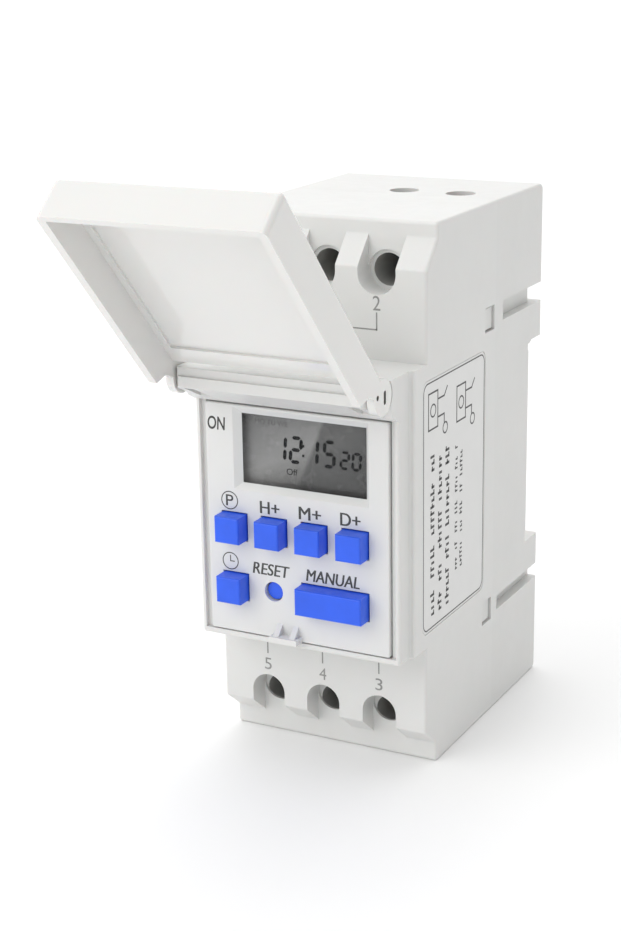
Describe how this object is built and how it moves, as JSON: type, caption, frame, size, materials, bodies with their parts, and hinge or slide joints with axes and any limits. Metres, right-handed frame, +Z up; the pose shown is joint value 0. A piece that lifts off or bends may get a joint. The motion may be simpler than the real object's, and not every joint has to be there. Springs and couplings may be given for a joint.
{
  "type": "din_rail_timer",
  "caption": "Two-module weekly timer for a 35 mm rail with flip cover, display, push buttons and screw terminals",
  "frame": {"origin": "centre of the face that seats on the rail", "axes": "X to the user's right, Y to the back (towards the rail), Z up"},
  "size_m": [0.036, 0.0931, 0.0964],
  "materials": {
    "housing_white": "fine texture",
    "panel_white": "smooth satin",
    "cover_white": "gloss",
    "button_blue": "satin",
    "window_clear": "polished",
    "lcd_grey": "polished with dark segments",
    "black_plastic": "satin",
    "switch_black": "satin",
    "board_green": "solder resist",
    "zebra_grey": "soft",
    "steel_zinc": "zinc plated",
    "brass_strip": "stamped",
    "relay_blue": "satin",
    "capacitor_yellow": "satin",
    "capacitor_sleeve": "shrink sleeve",
    "varistor_blue": "dipped epoxy",
    "resistor_body": "lacquer",
    "battery_steel": "plated",
    "clip_white": "satin",
    "label_paper": "printed film"
  },
  "bodies": {
    "timer": {"front_housing": "housing_white", "rear_base": "housing_white", "front_panel": "panel_white", "display_window": "window_clear", "lcd_glass": "lcd_grey", "lcd_holder": "black_plastic", "lcd_contact_strips": "zebra_grey", "display_board": "board_green", "display_board_screws": "steel_zinc", "tact_switches": "switch_black", "microcontroller": "black_plastic", "clock_crystal": "steel_zinc", "backup_battery": "battery_steel", "power_board": "board_green", "power_board_screws": "steel_zinc", "relay": "relay_blue", "film_capacitor": "capacitor_yellow", "filter_capacitor": "capacitor_sleeve", "varistor": "varistor_blue", "fuse_resistor": "resistor_body", "rectifier_diodes": "black_plastic", "board_link_pins": "brass_strip", "terminal_strips": "brass_strip", "side_label": "label_paper"},
    "cover": {"flip_cover": "cover_white"},
    "rail_clip": {"din_slider": "clip_white", "slider_spring": "steel_zinc"},
    "program_key": {"program_button": "button_blue", "program_switch_plunger": "switch_black"},
    "hour_key": {"hour_button": "button_blue", "hour_switch_plunger": "switch_black"},
    "minute_key": {"minute_button": "button_blue", "minute_switch_plunger": "switch_black"},
    "day_key": {"day_button": "button_blue", "day_switch_plunger": "switch_black"},
    "clock_key": {"clock_button": "button_blue", "clock_switch_plunger": "switch_black"},
    "manual_key": {"manual_button": "button_blue", "manual_switch_plunger": "switch_black"},
    "reset_key": {"reset_button": "button_blue", "reset_switch_plunger": "switch_black"},
    "screw_1": {"terminal_screw_1": "steel_zinc"},
    "cage_1": {"terminal_cage_1": "steel_zinc"},
    "screw_2": {"terminal_screw_2": "steel_zinc"},
    "cage_2": {"terminal_cage_2": "steel_zinc"},
    "screw_3": {"terminal_screw_3": "steel_zinc"},
    "cage_3": {"terminal_cage_3": "steel_zinc"},
    "screw_4": {"terminal_screw_4": "steel_zinc"},
    "cage_4": {"terminal_cage_4": "steel_zinc"},
    "screw_5": {"terminal_screw_5": "steel_zinc"},
    "cage_5": {"terminal_cage_5": "steel_zinc"}
  },
  "joints": [
    {"name": "cover_hinge", "type": "hinge", "parent": "timer", "child": "cover", "pos_m": [0, -0.0545, 0.0206], "axis": [-1, 0, 0], "range_deg": [-137.6, 0]},
    {"name": "program_press", "type": "slide", "parent": "timer", "child": "program_key", "axis": [0, 1, 0], "range_m": [0, 0.0004], "stiffness_N_per_m": 300, "springref_m": -0.0005},
    {"name": "hour_press", "type": "slide", "parent": "timer", "child": "hour_key", "axis": [0, 1, 0], "range_m": [0, 0.0004], "stiffness_N_per_m": 300, "springref_m": -0.0005},
    {"name": "minute_press", "type": "slide", "parent": "timer", "child": "minute_key", "axis": [0, 1, 0], "range_m": [0, 0.0004], "stiffness_N_per_m": 300, "springref_m": -0.0005},
    {"name": "day_press", "type": "slide", "parent": "timer", "child": "day_key", "axis": [0, 1, 0], "range_m": [0, 0.0004], "stiffness_N_per_m": 300, "springref_m": -0.0005},
    {"name": "clock_press", "type": "slide", "parent": "timer", "child": "clock_key", "axis": [0, 1, 0], "range_m": [0, 0.0004], "stiffness_N_per_m": 300, "springref_m": -0.0005},
    {"name": "manual_press", "type": "slide", "parent": "timer", "child": "manual_key", "axis": [0, 1, 0], "range_m": [0, 0.0004], "stiffness_N_per_m": 300, "springref_m": -0.0005},
    {"name": "reset_press", "type": "slide", "parent": "timer", "child": "reset_key", "axis": [0, 1, 0], "range_m": [0, 0.0004], "stiffness_N_per_m": 300, "springref_m": -0.0005},
    {"name": "clip_slide", "type": "slide", "parent": "timer", "child": "rail_clip", "axis": [0, 0, -1], "range_m": [0, 0.003], "stiffness_N_per_m": 900, "springref_m": -0.003, "deforming": ["slider_spring"]},
    {"name": "screw_1_turn", "type": "hinge", "parent": "timer", "child": "screw_1", "pos_m": [0, -0.0247, 0.0354], "axis": [0, 1, 0], "range_deg": [0, 2160]},
    {"name": "cage_1_rise", "type": "slide", "parent": "timer", "child": "cage_1", "axis": [0, -1, 0], "range_m": [0, 0.0036]},
    {"name": "screw_2_turn", "type": "hinge", "parent": "timer", "child": "screw_2", "pos_m": [0.0099, -0.0247, 0.0354], "axis": [0, 1, 0], "range_deg": [0, 2160]},
    {"name": "cage_2_rise", "type": "slide", "parent": "timer", "child": "cage_2", "axis": [0, -1, 0], "range_m": [0, 0.0036]},
    {"name": "screw_3_turn", "type": "hinge", "parent": "timer", "child": "screw_3", "pos_m": [0.0099, -0.0247, -0.0358], "axis": [0, 1, 0], "range_deg": [0, 2160]},
    {"name": "cage_3_rise", "type": "slide", "parent": "timer", "child": "cage_3", "axis": [0, -1, 0], "range_m": [0, 0.0036]},
    {"name": "screw_4_turn", "type": "hinge", "parent": "timer", "child": "screw_4", "pos_m": [0, -0.0247, -0.0358], "axis": [0, 1, 0], "range_deg": [0, 2160]},
    {"name": "cage_4_rise", "type": "slide", "parent": "timer", "child": "cage_4", "axis": [0, -1, 0], "range_m": [0, 0.0036]},
    {"name": "screw_5_turn", "type": "hinge", "parent": "timer", "child": "screw_5", "pos_m": [-0.0099, -0.0247, -0.0358], "axis": [0, 1, 0], "range_deg": [0, 2160]},
    {"name": "cage_5_rise", "type": "slide", "parent": "timer", "child": "cage_5", "axis": [0, -1, 0], "range_m": [0, 0.0036]}
  ],
  "couplings": [
    {"joint": "screw_1_turn", "follows": "cage_1_rise", "rad_per_m": 10472},
    {"joint": "screw_2_turn", "follows": "cage_2_rise", "rad_per_m": 10472},
    {"joint": "screw_3_turn", "follows": "cage_3_rise", "rad_per_m": 10472},
    {"joint": "screw_4_turn", "follows": "cage_4_rise", "rad_per_m": 10472},
    {"joint": "screw_5_turn", "follows": "cage_5_rise", "rad_per_m": 10472}
  ]
}
